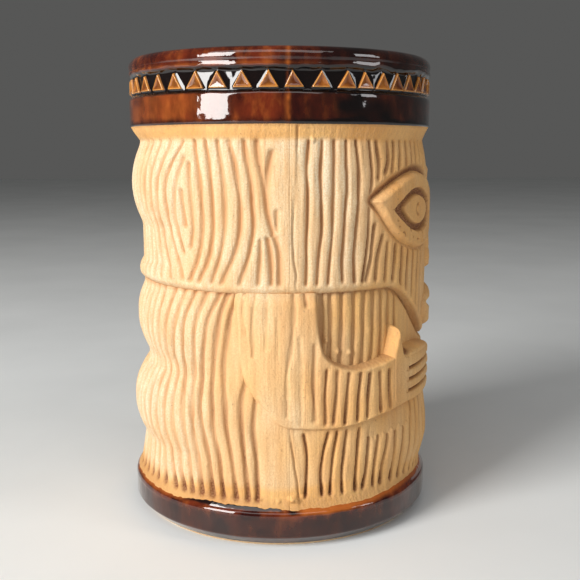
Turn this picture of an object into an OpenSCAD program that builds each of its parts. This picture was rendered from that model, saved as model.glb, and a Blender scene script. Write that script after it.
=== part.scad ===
// Tiki mug: a slip-cast clay mug from a two-part mould, with a figure carved round it.
// The figure looks toward -Y, and the mould's seams run up the two sides, at -X and +X.
// Angles round the mug are counted from the face, in degrees.

/* [Overall] */
// Height from the table to the top of the lip
mug_h = 131.5; // [126:0.5:170]
// Radius of the rim, over its glaze
rim_r = 44; // [36:0.5:56]
// Thickness of the glaze coats
glaze_t = 0.5; // [0.3:0.05:0.8]
// Thickness of the floor over its hollow underside
floor_t = 5; // [4:0.5:7]
// How far the inside wall stands in from the rim's radius
wall_in = 7.2; // [6:0.1:9]

/* [Rim band] */
// Height of the glazed band
rim_h = 19; // [17:0.5:24]
// Radius of the rounded lip, half of the lip's thickness
lip_r = 2.4; // [2:0.1:3]
// How far the glaze comes down inside the lip
rim_inside_h = 14; // [8:0.5:20]
// Height of the tan flare under the band
flare_h = 3.6; // [2.5:0.1:5]
// Distance from the lip's top to the channel's upper edge
channel_drop = 5.2; // [4.5:0.1:6]
// Height of the channel that holds the row of triangles
channel_h = 5.8; // [5:0.1:7]
// Depth of the channel
channel_depth = 1.2; // [0.8:0.1:1.6]

/* [Row of triangles] */
// Width of one triangle at its foot
tri_w = 4.6; // [3:0.1:5]
// Least gap between two triangles in front
tri_gap_front = 0.9; // [0.6:0.1:2]
// Least gap between two triangles behind
tri_gap_back = 1.8; // [0.6:0.1:2.5]
// Height of one triangle
tri_h = 4.1; // [3:0.1:4.6]
// How far a triangle stands out of the channel's floor
tri_proud = 1; // [0.5:0.1:1.1]

/* [Head and torso] */
// Height of the neck crease
neck_z = 69; // [60:0.5:72]
// How far the crease at the waist is below the neck, behind
waist_drop = 24.5; // [20:0.5:27]
// How far the plain wall stands in from the rim, behind
back_in = 3.5; // [3:0.1:3.8]
// How far the plain wall stands in from the rim, in front
front_in = 2.4; // [2:0.1:2.8]
// How far the crown roll stands out of the wall behind
crown_out = 3.1; // [2:0.1:3.4]
// How far the nape roll stands out
nape_out = 1.4; // [1:0.1:2]
// How far the shoulder roll stands out
shoulder_out = 2.3; // [1.5:0.1:3]
// How far the hip roll stands out
hip_out = 3.7; // [2.5:0.1:4]
// How far the belly stands out in front
belly_out = 2.7; // [1.5:0.1:3]

/* [Carved grooves] */
// Width of a groove
groove_w = 1.2; // [0.6:0.1:1.6]
// Depth of a groove
groove_depth = 0.7; // [0.4:0.1:1]
// Pitch of the grooves in degrees
groove_pitch = 5; // [4:0.5:10]

/* [Face] */
// Height of an eye's middle above the neck crease
eye_up = 21; // [19:0.5:24]
// Angle of an eye's middle from the face's middle
eye_at = 35; // [34:0.5:38]
// Width of an eye's frame
eye_w = 33; // [26:0.5:34]
// Height of an eye's frame
eye_h = 20; // [14:0.5:22]
// Width of the raised border of an eye
eye_border = 4; // [3:0.1:5]
// Width of the groove between the border and the pupil
eye_groove = 2.4; // [1.5:0.1:3]
// Width of the nose at its nostrils
nose_w = 15; // [10:0.5:16]
// Width of the nose at the bridge
bridge_w = 7.5; // [5:0.5:9]
// Length of the nose
nose_h = 28; // [20:0.5:30]
// Width of the mouth
mouth_w = 32; // [22:0.5:34]
// Height of the mouth
mouth_h = 14.5; // [11:0.5:15]
// Height of the opening between the lips
mouth_gap = 2.6; // [1.5:0.1:4]

/* [Arms and hands] */
// How far an arm stands out past the rim's radius
arm_proud = 0.4; // [0.2:0.1:0.8]
// How far the face and the hands stand out past the rim's radius
front_proud = 1.5; // [1:0.1:1.8]
// Width of the upper arm
upper_arm_w = 21.5; // [18:0.5:24]
// How far the forearm's lower edge is below the neck
forearm_drop = 37; // [35:0.5:39]
// Height of the forearm in the middle
forearm_h = 16; // [13:0.5:17]
// Angle of the wrist from the face's middle
wrist_at = 42; // [40:0.5:46]
// Height of the four fingers together
fingers_h = 14; // [11:0.5:15]
// Gap between two fingers
finger_gap = 0.7; // [0.4:0.1:1]

/* [Foot] */
// Height of the foot band
foot_h = 10.7; // [9:0.1:12]
// Radius of the foot band past the rim's radius, over its glaze
foot_proud = 0.8; // [0:0.1:1.2]
// Height of the bevel under the foot band
bevel_h = 3.5; // [2:0.1:4.5]
// How far the bevel comes in
bevel_in = 3; // [2:0.1:4]
// Height of the bare clay left under the foot's glaze
dry_h = 0.7; // [0.5:0.1:1.2]
// Width of the ring that the mug stands on
ring_w = 5; // [3:0.1:7]
// Depth of the hollow under the floor
under_h = 1.5; // [1:0.1:2.5]

/* [Hidden] */
$fn = 96;

clay = [0.87, 0.70, 0.50];
brown = [0.26, 0.09, 0.05];
liner = [0.33, 0.15, 0.09];
amber = [0.78, 0.42, 0.16];

rim_z = mug_h - rim_h;
waist_z = neck_z - waist_drop;
forearm_z = neck_z - forearm_drop;
head_top = rim_z - flare_h;
back_r = rim_r - back_in;
front_r = rim_r - front_in;
arm_r = rim_r + arm_proud;
face_r = rim_r + front_proud;
foot_r = rim_r + foot_proud;
stand_r = foot_r - bevel_in;
drink_r = rim_r - wall_in;
drink_z = under_h + floor_t;
corner_r = 9;
mouth_r = rim_r - 2 * lip_r;
taper_z = rim_z - 14;
taper_h = 18;
channel_r = rim_r - channel_depth;
channel_top = mug_h - channel_drop;
channel_z = channel_top - channel_h;
shoulder = 1;
far = mug_h + rim_r;

// The rolls behind: [height of the middle, how far it stands out, radius of its curve].
back_rolls = [
    [head_top - 12, crown_out, 28],
    [neck_z + 3.2, nape_out, 9],
    [(neck_z + waist_z) / 2 + 1.5, shoulder_out, 34],
    [waist_z - 12, hip_out, 21]];

// The rolls in front: the round of the head, and the belly.
front_rolls = [
    [(neck_z + head_top) / 2, 1.2, 170],
    [(foot_h + forearm_z) / 2, belly_out, 26]];

// Places the children on the wall at an angle from the face. They are drawn facing -Y.
module at_angle(angle) {
    rotate([0, 0, -angle]) children();
}

// An outline seen from the front, carried straight out through the wall.
module carve_through() {
    rotate([90, 0, 0]) linear_extrude(far) children();
}

// A pointed oval from two arcs.
module lens(w, h) {
    r = (w * w + h * h) / (4 * h);
    intersection() {
        translate([0, h / 2 - r]) circle(r);
        translate([0, r - h / 2]) circle(r);
    }
}

// A bar with round ends.
module round_bar(w, h) {
    square([w - h, h], center = true);
    for (side = [-1, 1]) translate([side * (w - h) / 2, 0]) circle(h / 2);
}

// Half section of one side's wall, with its rolls, brought in by an inset.
module wall_section(core_r, rolls, inset = 0) {
    intersection() {
        union() {
            square([core_r - inset, rim_z]);
            for (roll = rolls)
                translate([core_r + roll[1] - roll[2], roll[0]])
                    circle(roll[2] - inset, $fn = 360);
        }
        translate([0, foot_h / 2]) square([far, head_top - foot_h / 2]);
    }
    polygon([
        [0, foot_h - 1], [core_r + 2.2 - inset, foot_h - 1],
        [core_r + 0.8 - inset, foot_h + 12], [0, foot_h + 12]]);
}

// Half section of the rim, brought in by an inset, down to where the glaze ends.
module rim_section(inset = 0) {
    difference() {
        union() {
            translate([0, rim_z]) square([rim_r - inset, rim_h - lip_r]);
            translate([rim_r - lip_r, mug_h - lip_r]) circle(lip_r - inset);
        }
        translate([channel_r - inset, channel_z - inset])
            square([far, channel_h + 2 * inset]);
    }
}

// Half section of the foot, brought in by an inset.
module foot_section(inset = 0) {
    polygon([
        [0, dry_h], [stand_r - inset, dry_h],
        [foot_r - inset, bevel_h], [foot_r - inset, foot_h - shoulder],
        [foot_r - shoulder, foot_h - shoulder], [foot_r - shoulder, foot_h - inset],
        [0, foot_h - inset]]);
    translate([foot_r - shoulder, foot_h - shoulder]) circle(shoulder - inset);
}

// Half section of the space inside, made wider by a margin.
module inside_section(margin = 0) {
    r = drink_r + margin;
    low = drink_z - margin;
    round_r = corner_r + margin;
    translate([0, low]) square([r - round_r, rim_z - low]);
    translate([0, low + round_r]) square([r, taper_z - low - round_r]);
    translate([r - round_r, low + round_r]) circle(round_r);
    polygon([
        [0, taper_z], [r, taper_z],
        [mouth_r + margin, taper_z + taper_h], [mouth_r + margin, far], [0, far]]);
}

// The casting's outside as one solid, before anything is cut from it.
module clay_form() {
    rotate_extrude(angle = 180) wall_section(back_r, back_rolls);
    rotate([0, 0, 180]) rotate_extrude(angle = 180) wall_section(front_r, front_rolls);
    rotate_extrude() {
        rim_section(glaze_t);
        foot_section(glaze_t);
        square([stand_r - glaze_t, foot_h - 1]);
        polygon([
            [0, head_top - 1], [front_r - 0.5, head_top - 1],
            [rim_r - glaze_t, rim_z], [0, rim_z]]);
    }
}

// One straight groove, cut to an even depth over the rolls.
module groove(angle, low, high) {
    behind = angle > 90 && angle < 270;
    at_angle(angle)
        rotate([0, 0, -90])
            rotate([90, 0, 0])
                linear_extrude(groove_w, center = true)
                    difference() {
                        translate([drink_r + 1, low]) square([rim_r / 4, high - low]);
                        if (behind) wall_section(back_r, back_rolls, groove_depth);
                        else wall_section(front_r, front_rolls, groove_depth);
                    }
}

// Every groove in one band between two angles, and the same on the other side.
module groove_band(from, to, low, high) {
    for (angle = [from : groove_pitch : to])
        for (turn = [angle, 360 - angle])
            groove(turn, low, high);
}

module grooves() {
    belly_top = forearm_z - 2;
    belly_low = foot_h + 2;
    mid_front = groove_pitch / 2;
    mid_back = 180 - groove_pitch / 2;
    beside_eye = 62.5;
    before_seam = 89;
    behind_seam = 92.5;
    behind_arm = 112.5;
    groove_band(mid_front, before_seam, belly_low, belly_top);
    groove_band(behind_seam, mid_back, belly_low, belly_top);
    groove_band(behind_arm, mid_back, belly_top - 0.01, neck_z - 1.5);
    groove_band(beside_eye, before_seam, neck_z + 1.5, head_top - 0.5);
    groove_band(behind_seam, mid_back, neck_z + 1.5, head_top - 0.5);
}

module clay_body() {
    color(clay) difference() {
        clay_form();
        rotate_extrude() inside_section(glaze_t);
        rotate_extrude() translate([front_r - 0.2, neck_z]) circle(0.9);
        cylinder(r = stand_r - glaze_t - ring_w, h = under_h);
        grooves();
    }
}

module rim_glaze() {
    color(brown) difference() {
        rotate_extrude() rim_section();
        rotate_extrude() rim_section(glaze_t);
        rotate_extrude() inside_section();
        cylinder(r = rim_r - glaze_t, h = mug_h - rim_inside_h);
    }
}

module liner_glaze() {
    color(liner) intersection() {
        rotate_extrude() difference() {
            inside_section(glaze_t);
            inside_section();
        }
        cylinder(r = far, h = mug_h - rim_inside_h);
    }
}

module foot_glaze() {
    color(brown) difference() {
        rotate_extrude() foot_section();
        clay_form();
    }
}

// The angles of one side's triangles: close together in front, two by the seam, wider behind.
function row(from, to, gap) =
    let (
        arc = (to - from) * PI / 180 * channel_r,
        count = floor(arc / (tri_w + gap)),
        pitch = (to - from) / count)
    [for (i = [0.5 : count]) from + i * pitch];

tri_angles = concat(row(0, 74, tri_gap_front), [79.5, 88.5], row(92.6, 180, tri_gap_back));

// One triangle, standing on the channel's floor and facing -Y.
module rim_triangle() {
    foot_z = channel_z + (channel_h - tri_h) / 2;
    difference() {
        intersection() {
            translate([0, -channel_r / 2, 0])
                carve_through()
                    polygon([
                        [-tri_w / 2, foot_z], [tri_w / 2, foot_z], [0, foot_z + tri_h]]);
            cylinder(r = channel_r + tri_proud, h = mug_h);
        }
        cylinder(r = channel_r, h = mug_h);
    }
}

module rim_triangles() {
    color(amber)
        for (angle = tri_angles, side = [-1, 1])
            at_angle(side * angle) rim_triangle();
}

// What is left of the children outside the casting, up to a radius.
module relief(r) {
    difference() {
        intersection() {
            children();
            cylinder(r = r, h = mug_h);
        }
        clay_form();
    }
}

module eye() {
    white_w = eye_w - 2.6 * eye_border;
    white_h = eye_h - 1.6 * eye_border;
    eye_r = rim_r + 0.6;
    difference() {
        relief(eye_r)
            at_angle(-eye_at)
                carve_through()
                    translate([0, neck_z + eye_up]) lens(eye_w, eye_h);
        difference() {
            at_angle(-eye_at)
                carve_through()
                    translate([0, neck_z + eye_up])
                        difference() {
                            lens(white_w, white_h);
                            lens(white_w - 2.6 * eye_groove, white_h - 1.6 * eye_groove);
                        }
            cylinder(r = eye_r - 0.7, h = mug_h);
        }
    }
}

module left_eye() {
    color(clay) eye();
}

module right_eye() {
    color(clay) mirror([1, 0, 0]) eye();
}

module nose() {
    color(clay) relief(face_r - 0.4) carve_through() translate([0, neck_z + 1.5]) {
        polygon([
            [-nose_w / 2 + 2, 0], [nose_w / 2 - 2, 0], [nose_w / 2, 2],
            [bridge_w / 2, nose_h / 2], [bridge_w / 2, nose_h],
            [-bridge_w / 2, nose_h], [-bridge_w / 2, nose_h / 2], [-nose_w / 2, 2]]);
        for (side = [-1, 1]) translate([side * (nose_w / 2 - 2.6), 2.6]) circle(2.6);
    }
}

module mouth() {
    mouth_z = neck_z - 2 - mouth_h / 2;
    color(clay) difference() {
        relief(face_r) carve_through() translate([0, mouth_z]) round_bar(mouth_w, mouth_h);
        difference() {
            carve_through() translate([0, mouth_z]) round_bar(mouth_w - mouth_h / 2, mouth_gap);
            cylinder(r = face_r - 1.2, h = mug_h);
        }
    }
}

// The side of the wrist's plane that faces away from the face.
module behind_wrist() {
    at_angle(-wrist_at) translate([0, -far, -1]) cube([far, 2 * far, mug_h + 2]);
}

// The outlines of the arms and hands widen with the wall, so that they keep meeting at the wrist.
spread = rim_r / 44;

arm_at = 75;
shoulder_x = 3.5;

module arm() {
    top = forearm_z + forearm_h;
    outer_x = shoulder_x + upper_arm_w;
    relief(arm_r) intersection() {
        at_angle(-arm_at) carve_through() scale([spread, 1]) polygon([
            [shoulder_x, neck_z - 1], [shoulder_x - 0.5, top + 12],
            [shoulder_x - 2, top + 5], [shoulder_x - 6, top + 1.5],
            [-12, top], [-18, top + 0.5], [-26, top + 4], [-26, forearm_z + 1.5],
            [-8, forearm_z - 0.5], [0, forearm_z - 1], [8, forearm_z],
            [outer_x - 10, forearm_z + 2], [outer_x - 7.5, forearm_z + 6],
            [outer_x, neck_z - 19], [outer_x, neck_z - 1]]);
        behind_wrist();
    }
}

module left_arm() {
    color(clay) arm();
}

module right_arm() {
    color(clay) mirror([1, 0, 0]) arm();
}

hand_at = 27;

module hand() {
    finger_h = (fingers_h - 3 * finger_gap) / 4;
    finger_z = forearm_z + 1.7;
    palm_x = 2.5;
    tip_x = -11.5;
    relief(face_r) difference() {
        at_angle(-hand_at) carve_through() scale([spread, 1]) {
            polygon([
                [palm_x - 1, finger_z], [20, finger_z - 1], [20, finger_z + 18],
                [10, finger_z + 20.5], [7, finger_z + 20.5], [6, finger_z + 19],
                [palm_x + 1, finger_z + fingers_h + 1], [palm_x - 1, finger_z + fingers_h]]);
            for (i = [0 : 3])
                translate([(palm_x + tip_x) / 2, finger_z + finger_h / 2 + i * (finger_h + finger_gap)])
                    round_bar(palm_x - tip_x, finger_h);
        }
        behind_wrist();
    }
}

module left_hand() {
    color(clay) hand();
}

module right_hand() {
    color(clay) mirror([1, 0, 0]) hand();
}

clay_body();
rim_glaze();
liner_glaze();
foot_glaze();
rim_triangles();
left_eye();
right_eye();
nose();
mouth();
left_arm();
right_arm();
left_hand();
right_hand();
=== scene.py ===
# %% [markdown]
# # A tiki mug in bare and glazed clay
#
# The real mug is one slip-cast piece of earthenware from a two-part mould. Its wall is left as matte
# clay, carved all over with grooves, and its rim, foot and inside wear a glossy brown glaze.
#
# A sculptor would add clay and cut it away. Here the clay is a height field wrapped round an axis: at
# every angle and height one number says how far out the surface stands. That suits shallow carving
# with no undercuts, and it keeps every groove as real geometry, so light falls into it.

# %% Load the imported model
import math

import bpy
import numpy as np
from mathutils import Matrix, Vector


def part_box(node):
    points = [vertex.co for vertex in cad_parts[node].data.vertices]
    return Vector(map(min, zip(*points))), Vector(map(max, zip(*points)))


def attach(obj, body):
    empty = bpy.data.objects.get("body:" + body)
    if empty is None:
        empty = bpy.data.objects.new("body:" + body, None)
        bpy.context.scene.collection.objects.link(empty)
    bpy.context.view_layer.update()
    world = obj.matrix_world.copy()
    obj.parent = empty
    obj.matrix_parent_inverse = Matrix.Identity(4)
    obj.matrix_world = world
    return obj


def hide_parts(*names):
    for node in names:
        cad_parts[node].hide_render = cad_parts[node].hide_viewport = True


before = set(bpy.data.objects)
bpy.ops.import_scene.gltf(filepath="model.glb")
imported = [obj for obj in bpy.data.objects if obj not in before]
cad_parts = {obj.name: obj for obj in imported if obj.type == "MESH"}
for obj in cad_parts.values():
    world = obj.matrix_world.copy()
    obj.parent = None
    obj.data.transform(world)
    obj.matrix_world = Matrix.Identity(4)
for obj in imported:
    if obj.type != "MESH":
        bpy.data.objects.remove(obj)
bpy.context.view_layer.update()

# %% [markdown]
# ## Main sizes
#
# Blender works in metres, and a mug is easier to think about in millimetres, so lengths stay in
# millimetres until the last step of making a mesh. The main heights and radii come from the packed
# model. Angles are counted in degrees from the middle of the face, toward the figure's right side.

# %% Sizes from the frame, in millimetres
MM = 0.001


def node_mm(node):
    """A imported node's lowest and highest corners, in millimetres."""
    low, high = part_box(node)
    return np.array(low) / MM, np.array(high) / MM


RIM_LOW, RIM_HIGH = node_mm("rim_glaze")
LINER_LOW, LINER_HIGH = node_mm("liner_glaze")
TRI_LOW, TRI_HIGH = (corner[2] for corner in node_mm("rim_triangles"))
RIM_R, TOP_Z = RIM_HIGH[0], RIM_HIGH[2]
RIM_Z = RIM_LOW[2]
FOOT_R = node_mm("foot_glaze")[1][0]
NECK_Z = node_mm("left_arm")[1][2] + 1
FLARE_Z = RIM_Z - 3.8
CHANNEL_R = RIM_R - 1.2
CHANNEL_LOW, CHANNEL_HIGH = TOP_Z - 11.0, TOP_Z - 5.2
LIP_R = 2.4
LIP_INNER_R = RIM_R - 2 * LIP_R
DRINK_R = LINER_HIGH[0] - 2.9
LINER_TOP = LINER_HIGH[2]
# The glaze's thickness, and how far the clay lies under the glaze's face.
GLAZE = 0.5
SEAT = GLAZE + 0.05
CORE_R = DRINK_R + 0.6
# The carved wall goes from behind the foot's glaze to just inside the rim's.
WALL_LOW, WALL_HIGH = 9.4, RIM_Z + 0.2
print("rim radius", round(RIM_R, 2), "neck", round(NECK_Z, 2), "drink radius", round(DRINK_R, 2))

# %% [markdown]
# ## A few small tools of form
#
# A smooth step and a smooth rise and fall, smooth random hills, and the distance to an outline drawn
# flat. Nearly every feature of the carving is one of these, or a sum of them.

# %% Smooth step, random hills and distance to an outline


def ramp(x, start, end):
    """0 below start, 1 above end, and the curve 3t² - 2t³ between."""
    t = np.clip((x - start) / (end - start), 0, 1)
    return t * t * (3 - 2 * t)


def fall(x, start, end):
    """1 below start and 0 above end: one minus the ramp."""
    return 1 - ramp(x, start, end)


def between(x, start, full, fade, end):
    """Rises from 0 to 1 between start and full, and falls back to 0 between fade and end."""
    return ramp(x, start, full) * fall(x, fade, end)


def hills(u, v, seed, wrap=64):
    """Random heights from -1 to 1 at whole numbers of u and v, blended between by 3t² - 2t³.
    The pattern repeats every wrap steps of u."""
    heights = np.random.default_rng(seed).uniform(-1, 1, (wrap, 64))
    i, j = np.floor(u).astype(int), np.floor(v).astype(int)
    s, t = u - i, v - j
    s, t = s * s * (3 - 2 * s), t * t * (3 - 2 * t)
    i, j, i_next, j_next = i % wrap, j % 64, (i + 1) % wrap, (j + 1) % 64
    low = heights[i, j] * (1 - s) + heights[i_next, j] * s
    high = heights[i, j_next] * (1 - s) + heights[i_next, j_next] * s
    return low * (1 - t) + high * t


def depth_inside(x, y, outline):
    """Distance to the nearest edge of a closed outline: positive inside it, negative outside."""
    nearest = np.full(np.broadcast(x, y).shape, 1e9)
    inside = np.zeros(nearest.shape, bool)
    ends = np.roll(outline, -1, axis=0)
    for (x0, y0), (x1, y1) in zip(outline, ends):
        along = np.clip(((x - x0) * (x1 - x0) + (y - y0) * (y1 - y0))
                        / ((x1 - x0) ** 2 + (y1 - y0) ** 2 + 1e-12), 0, 1)
        nearest = np.minimum(nearest, np.hypot(x - x0 - along * (x1 - x0), y - y0 - along * (y1 - y0)))
        crosses = (y0 > y) != (y1 > y)
        inside ^= crosses & (x < (x1 - x0) * (y - y0) / (y1 - y0 + 1e-12) + x0)
    return np.where(inside, nearest, -nearest)


def rounded(outline, passes):
    """Cuts every corner of a closed outline at a quarter of its edges, passes times over."""
    points = np.array(outline, float)
    for _ in range(passes):
        ends = np.roll(points, -1, axis=0)
        points = np.stack([points * 0.75 + ends * 0.25, points * 0.25 + ends * 0.75], 1).reshape(-1, 2)
    return points


def mirrored(half):
    """An outline made of one half and its mirror image, in the order that keeps it closed."""
    return [*half, *[(-x, y) for x, y in half[::-1]]]


# %% [markdown]
# ## From radius to mesh
#
# A shell is a closed loop of rows, from the outside's foot to its top and back down inside, repeated
# at every angle. A part of a turn gets a flat face at each end, where the mould's halves meet. The
# signed volume is printed each time: it is positive only when every face looks outward.

# %% Points, faces and pieces
CUBIC_CM = 1e-6


def full_circle(columns):
    """One row of evenly spaced angles round the whole mug."""
    return np.linspace(-180, 180, columns, endpoint=False)[None, :]


def on_mug(phi, radius, z):
    """A point at an angle from the face: x = -radius sin(phi), y = -radius cos(phi), in metres."""
    a = np.radians(phi)
    return np.stack([-radius * np.sin(a), -radius * np.cos(a), z + 0 * radius], -1) * MM


def loop_faces(rows, columns, full_turn):
    """Squares between neighbours of a grid whose rows close on themselves, with end caps if it is
    less than a full turn."""
    i, j = np.meshgrid(np.arange(rows), np.arange(columns if full_turn else columns - 1), indexing="ij")
    up, across = (i + 1) % rows, (j + 1) % columns
    faces = np.stack([i * columns + j, up * columns + j, up * columns + across, i * columns + across], -1)
    faces = faces.reshape(-1, 4).tolist()
    if not full_turn:
        edge = np.arange(rows) * columns
        faces += [edge[::-1].tolist(), (edge + columns - 1).tolist()]
    return faces


def volume(points, faces):
    """Sum over the faces of the tetrahedra they make with the origin, in cubic centimetres."""
    total = 0.0
    squares = np.array([f for f in faces if len(f) == 4])
    if len(squares):
        a, b, c, d = (points[squares[:, k]] for k in range(4))
        total += np.einsum("ij,ij->", a, np.cross(b, c)) + np.einsum("ij,ij->", a, np.cross(c, d))
    for f in faces:
        if len(f) != 4:
            p = points[f]
            total += np.einsum("ij,ij->", np.broadcast_to(p[0], p[1:-1].shape), np.cross(p[1:-1], p[2:]))
    return total / 6 / CUBIC_CM


def in_scene(name, data):
    """A new object in the scene, made from its data."""
    thing = bpy.data.objects.new(name, data)
    bpy.context.scene.collection.objects.link(thing)
    return thing


def new_piece(name, points, faces, nodes, material, marks):
    """Makes a closed mesh piece that rides on the mug, stands for CAD nodes and carries its marks,
    which are one number for each point."""
    points = points.reshape(-1, 3)
    mesh = bpy.data.meshes.new(name)
    mesh.from_pydata(points.tolist(), [], faces)
    mesh.polygons.foreach_set("use_smooth", np.array([len(f) < 5 for f in faces]))
    for mark, values in marks.items():
        layer = mesh.attributes.new(mark, "FLOAT", "POINT")
        layer.data.foreach_set("value", np.ravel(values).astype(np.float32))
    mesh.update()
    piece = in_scene(name, mesh)
    mesh.materials.append(material)
    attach(piece, "root")
    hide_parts(*nodes)
    triangles = sum(len(f) - 2 for f in faces)
    print(f"{name}: {triangles} triangles, volume {volume(points, faces):.2f} cm3")


# %% [markdown]
# ## Bare clay
#
# Bisque is matte and a little chalky. The cut mark darkens the clay toward a stain colour, peach
# behind and dark brown in front, while the ridges keep a pale cream. It is partly real slip and stain
# settled in the grooves, and partly painted shade: in the grooves, in the neck crease, just under the
# rim's glaze and along the foot of the raised members. The mesh carries two marks: cut, how deep the
# point was carved plus that painted shade, and tone, how far the clay has gone from cream to ochre.
# The shader adds patches, grain, dark specks, upright streaks from the tool, and a sandy bump.

# %% Helpers for node materials


def new_material(name):
    """An empty node material with its Principled shader wired to the output."""
    material = bpy.data.materials.new(name)
    material.use_nodes = True
    tree = material.node_tree
    return material, tree, tree.nodes["Principled BSDF"]


def add(tree, kind, **settings):
    """A shader node, with its own settings made by name."""
    node = tree.nodes.new(kind)
    for key, value in settings.items():
        setattr(node, key, value)
    return node


def linked(tree, source, target):
    """Joins an output socket to an input socket."""
    tree.links.new(source, target)


def set_inputs(node, **numbers):
    """Sets a node's inputs by name, with an underscore for each space."""
    for name, number in numbers.items():
        node.inputs[name.replace("_", " ")].default_value = number


def feed(tree, socket, value):
    """Gives a socket a number, a colour or what another socket puts out."""
    if isinstance(value, tuple):
        value = (*value, 1.0)
    if isinstance(value, (int, float, tuple)):
        socket.default_value = value
    else:
        linked(tree, value, socket)


def noise(tree, scale, detail, stretch=(1, 1, 1), roughness=0.55):
    """Noise on object coordinates. A stretch below 1 draws the pattern out along that axis."""
    where = add(tree, "ShaderNodeTexCoord")
    mapping = add(tree, "ShaderNodeMapping")
    set_inputs(mapping, Scale=stretch)
    texture = add(tree, "ShaderNodeTexNoise")
    set_inputs(texture, Scale=scale, Detail=detail, Roughness=roughness)
    linked(tree, where.outputs["Object"], mapping.inputs["Vector"])
    linked(tree, mapping.outputs["Vector"], texture.inputs["Vector"])
    return texture.outputs["Fac"]


def span(tree, value, low, high, to_low=0.0, to_high=1.0):
    """Maps a value's range to a new one, clamped."""
    node = add(tree, "ShaderNodeMapRange")
    set_inputs(node, From_Min=low, From_Max=high, To_Min=to_low, To_Max=to_high)
    linked(tree, value, node.inputs["Value"])
    return node.outputs["Result"]


def blend(tree, amount, first, second):
    """Mixes two colours, each a tuple or a socket, by an amount that is a number or a socket."""
    node = add(tree, "ShaderNodeMix", data_type="RGBA")
    for number, value in ((0, amount), (6, first), (7, second)):
        feed(tree, node.inputs[number], value)
    return node.outputs[2]


def maths(tree, first, second, operation="MULTIPLY"):
    """One sum on sockets or numbers, a product unless another operation is named."""
    node = add(tree, "ShaderNodeMath", operation=operation)
    feed(tree, node.inputs[0], first)
    feed(tree, node.inputs[1], second)
    return node.outputs[0]


def mark_of(tree, name):
    """A number that the mesh carries at each point."""
    return add(tree, "ShaderNodeAttribute", attribute_name=name).outputs["Fac"]


def bumps(tree, shader, heights):
    """Adds up (height, strength, distance in millimetres) bumps into the shader's normal and its
    coat's."""
    normal = None
    for height, strength, distance in heights:
        bump = add(tree, "ShaderNodeBump")
        set_inputs(bump, Strength=strength, Distance=distance * MM)
        linked(tree, height, bump.inputs["Height"])
        if normal is not None:
            linked(tree, normal, bump.inputs["Normal"])
        normal = bump.outputs["Normal"]
    linked(tree, normal, shader.inputs["Normal"])
    linked(tree, normal, shader.inputs["Coat Normal"])


# %% The bare clay
def bare_clay():
    """Cream to ochre clay, stained and with painted shade in its cuts, speckled, streaked upright and sandy
    to the touch.
    """
    material, tree, shader = new_material("bare_clay")
    cut, tone = mark_of(tree, "cut"), mark_of(tree, "tone")
    patches = span(tree, noise(tree, 75, 5, (1, 1, 0.5)), 0.38, 0.64)
    streaks = span(tree, noise(tree, 900, 4, (1, 1, 0.07)), 0.40, 0.64)
    grain = span(tree, noise(tree, 2400, 3), 0.40, 0.62)
    specks = span(tree, noise(tree, 1500, 1, roughness=0.3), 0.74, 0.80)
    cream = blend(tree, patches, (0.72, 0.635, 0.460), (0.72, 0.550, 0.330))
    ochre = blend(tree, patches, (0.78, 0.455, 0.160), (0.68, 0.335, 0.095))
    ridge = blend(tree, tone, cream, ochre)
    ridge = blend(tree, maths(tree, streaks, 0.4), ridge, (0.60, 0.31, 0.12))
    # The stain colour: real stain, and painted shade in the cuts and hollows.
    stain_and_shade = blend(tree, span(tree, tone, 0.25, 0.75), (0.56, 0.29, 0.13), (0.17, 0.05, 0.013))
    colour = blend(tree, span(tree, cut, 0.18, 1.0), ridge, stain_and_shade)
    colour = blend(tree, maths(tree, grain, 0.46), colour, (0.58, 0.33, 0.15))
    colour = blend(tree, maths(tree, specks, 0.4), colour, (0.16, 0.07, 0.03))
    linked(tree, colour, shader.inputs["Base Color"])
    linked(tree, span(tree, grain, 0, 1, 0.66, 0.82), shader.inputs["Roughness"])
    set_inputs(shader, Specular_IOR_Level=0.35)
    bumps(tree, shader, [(streaks, 0.5, 0.16), (noise(tree, 1500, 4), 0.75, 0.22)])
    return material


CLAY = bare_clay()

# %% [markdown]
# ## The plain wall
#
# Before any carving the wall has a shape of its own. Behind, it is a stack of soft rolls, each an arc
# standing out of the core. In front it swells at the brow and the belly. At the sides it is nearly
# straight. The three shapes are blended by weights that depend only on the angle.

# %% Radius of the plain wall
# Each roll behind has the height of its middle, its outermost radius and the radius of its arc.
BACK_ROLLS = ((96.6, 43.6, 24), (71.8, 41.9, 4), (58.3, 42.8, 20), (33.0, 44.3, 18.5))
MEAN_R = 42
SOFT = 0.25
CHIN_DROP = 18


def rolls(z, core, arcs):
    """The core joined to its arcs by a smooth maximum: log of the sum of exponentials."""
    total = np.exp((core - MEAN_R) / SOFT)
    for middle, peak, curve in arcs:
        half = np.clip(z - middle, -curve * 0.98, curve * 0.98)
        total = total + np.exp((peak - curve + np.sqrt(curve ** 2 - half ** 2) - MEAN_R) / SOFT)
    return MEAN_R + SOFT * np.log(total)


def smooth_line(x, points):
    """A line through (x, y) points with rounded turns: the mean of five nearby straight readings."""
    xs, ys = np.array(points, float).T
    reach = 0.35 * np.min(np.diff(xs))
    return sum(np.interp(x + k * reach / 2, xs, ys) for k in (-2, -1, 0, 1, 2)) / 5


def fold(phi):
    """The angle from the middle of the face, 0 to 180, whichever side it is on."""
    return 180 - np.abs(180 - np.abs(phi))


def back_weight(phi):
    """1 behind, fading to 0 by the shoulder."""
    return ramp(fold(phi), 108, 158)


def front_weight(phi):
    """1 in front, fading to 0 by the ear."""
    return fall(fold(phi), 22, 72)


def neck_line(phi):
    """Height of the crease: level at the sides and behind, dropping under the chin in front."""
    return NECK_Z - CHIN_DROP * ramp(50 - fold(phi), 0, 44)


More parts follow.
